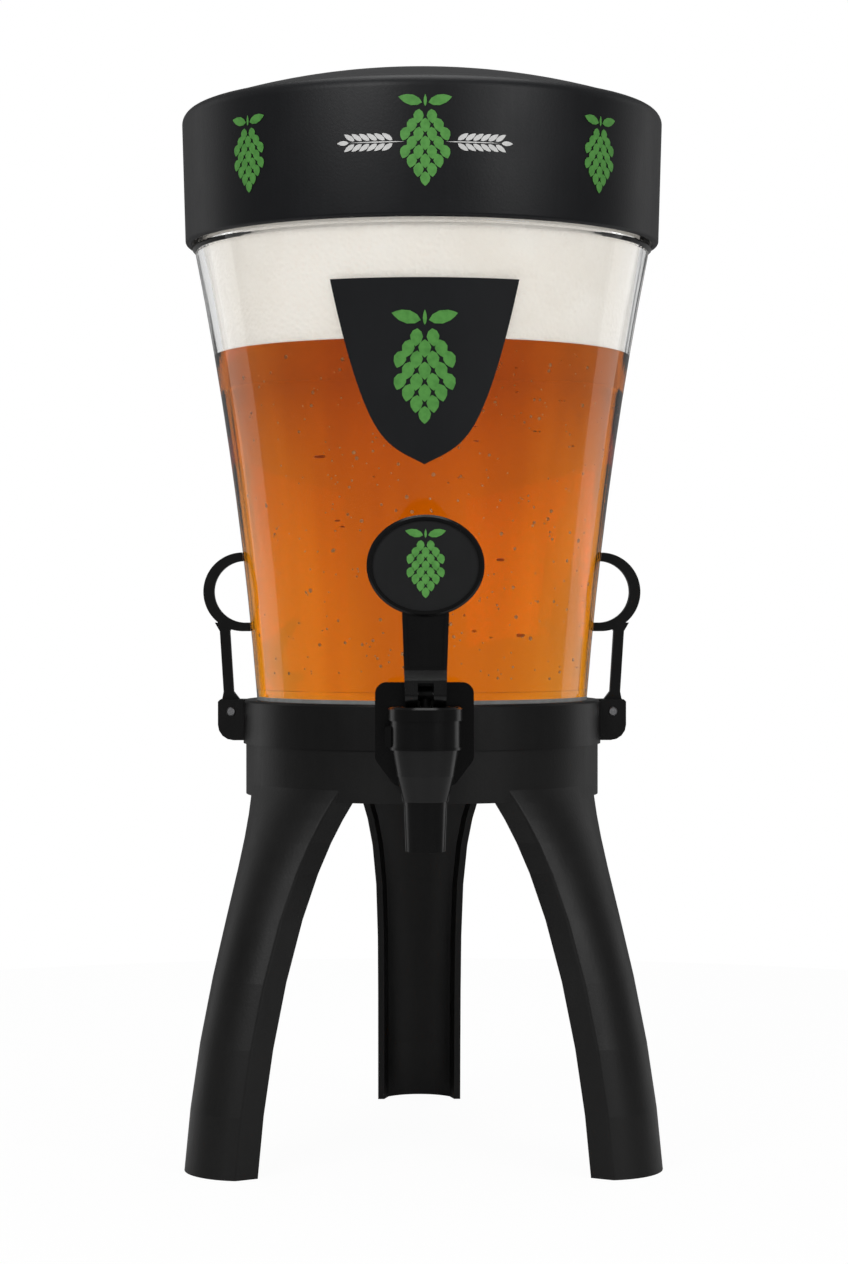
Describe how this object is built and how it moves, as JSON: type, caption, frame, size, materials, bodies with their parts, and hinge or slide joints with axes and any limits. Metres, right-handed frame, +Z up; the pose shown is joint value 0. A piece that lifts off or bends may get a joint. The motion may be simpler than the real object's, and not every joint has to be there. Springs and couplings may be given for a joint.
{
  "type": "beer tower dispenser",
  "caption": "Table-top drink tower: clear flared vessel with lift-off lid, lever tap and hinged side hooks, on a moulded three-legged stand.",
  "frame": {"origin": "on the vessel's axis, at the floor", "axes": "+Z up along the vessel, -Y towards the tap and the user, +X to the user's right"},
  "size_m": [0.2008, 0.2372, 0.4462],
  "materials": {
    "stand_plastic": "satin black moulded plastic",
    "collar_plastic": "satin black moulded plastic",
    "lid_plastic": "satin black moulded plastic, fine grain",
    "hook_plastic": "satin black moulded plastic",
    "clear_vessel": "clear polished plastic",
    "tap_plastic": "semi-gloss black moulded plastic",
    "lever_plastic": "semi-gloss black moulded plastic",
    "badge_plastic": null,
    "stem_plastic": "black acetal",
    "silicone": "translucent grey silicone",
    "steel": "drawn stainless steel",
    "label_film": null
  },
  "bodies": {
    "stand": {"tripod_stand": "stand_plastic"},
    "vessel_unit": {"collar_ring": "collar_plastic", "vessel": "clear_vessel", "vessel_gasket": "silicone", "hook_pin_left": "steel", "hook_pin_right": "steel", "tap_plate": "tap_plastic", "tap_body": "tap_plastic", "tap_bonnet": "tap_plastic", "stem_seal": "silicone", "shank_gasket_outer": "silicone", "shank_gasket_inner": "silicone", "shank_nut": "stem_plastic", "front_label": "label_film"},
    "lid": {"lid": "lid_plastic"},
    "hook_left": {"side_hook_left": "hook_plastic"},
    "hook_right": {"side_hook_right": "hook_plastic"},
    "valve": {"valve_stem": "stem_plastic", "valve_plug": "silicone", "valve_spring": "steel"},
    "lever": {"tap_lever": "lever_plastic", "lever_pin": "steel", "handle_badge": "badge_plastic"}
  },
  "joints": [
    {"name": "vessel_lift", "type": "slide", "parent": "stand", "child": "vessel_unit", "axis": [0, 0, 1], "range_m": [0, 0.045]},
    {"name": "lid_lift", "type": "slide", "parent": "vessel_unit", "child": "lid", "axis": [0, 0, 1], "range_m": [0, 0.06]},
    {"name": "hook_left_swing", "type": "hinge", "parent": "vessel_unit", "child": "hook_left", "pos_m": [-0.0798, 0, 0.1805], "axis": [0, -1, 0], "range_deg": [0, 78]},
    {"name": "hook_right_swing", "type": "hinge", "parent": "vessel_unit", "child": "hook_right", "pos_m": [0.0798, 0, 0.1805], "axis": [0, 1, 0], "range_deg": [0, 78]},
    {"name": "valve_lift", "type": "slide", "parent": "vessel_unit", "child": "valve", "axis": [0, 0, 1], "range_m": [0, 0.0032], "deforming": ["valve_spring"]},
    {"name": "lever_tilt", "type": "hinge", "parent": "valve", "child": "lever", "pos_m": [0, -0.106, 0.191], "axis": [1, 0, 0], "range_deg": [0, 30], "stiffness_Nm_per_rad": 0.03, "springref_deg": -57.3}
  ],
  "couplings": [
    {"joint": "valve_lift", "follows": "lever_tilt", "m_per_rad": 0.006}
  ]
}
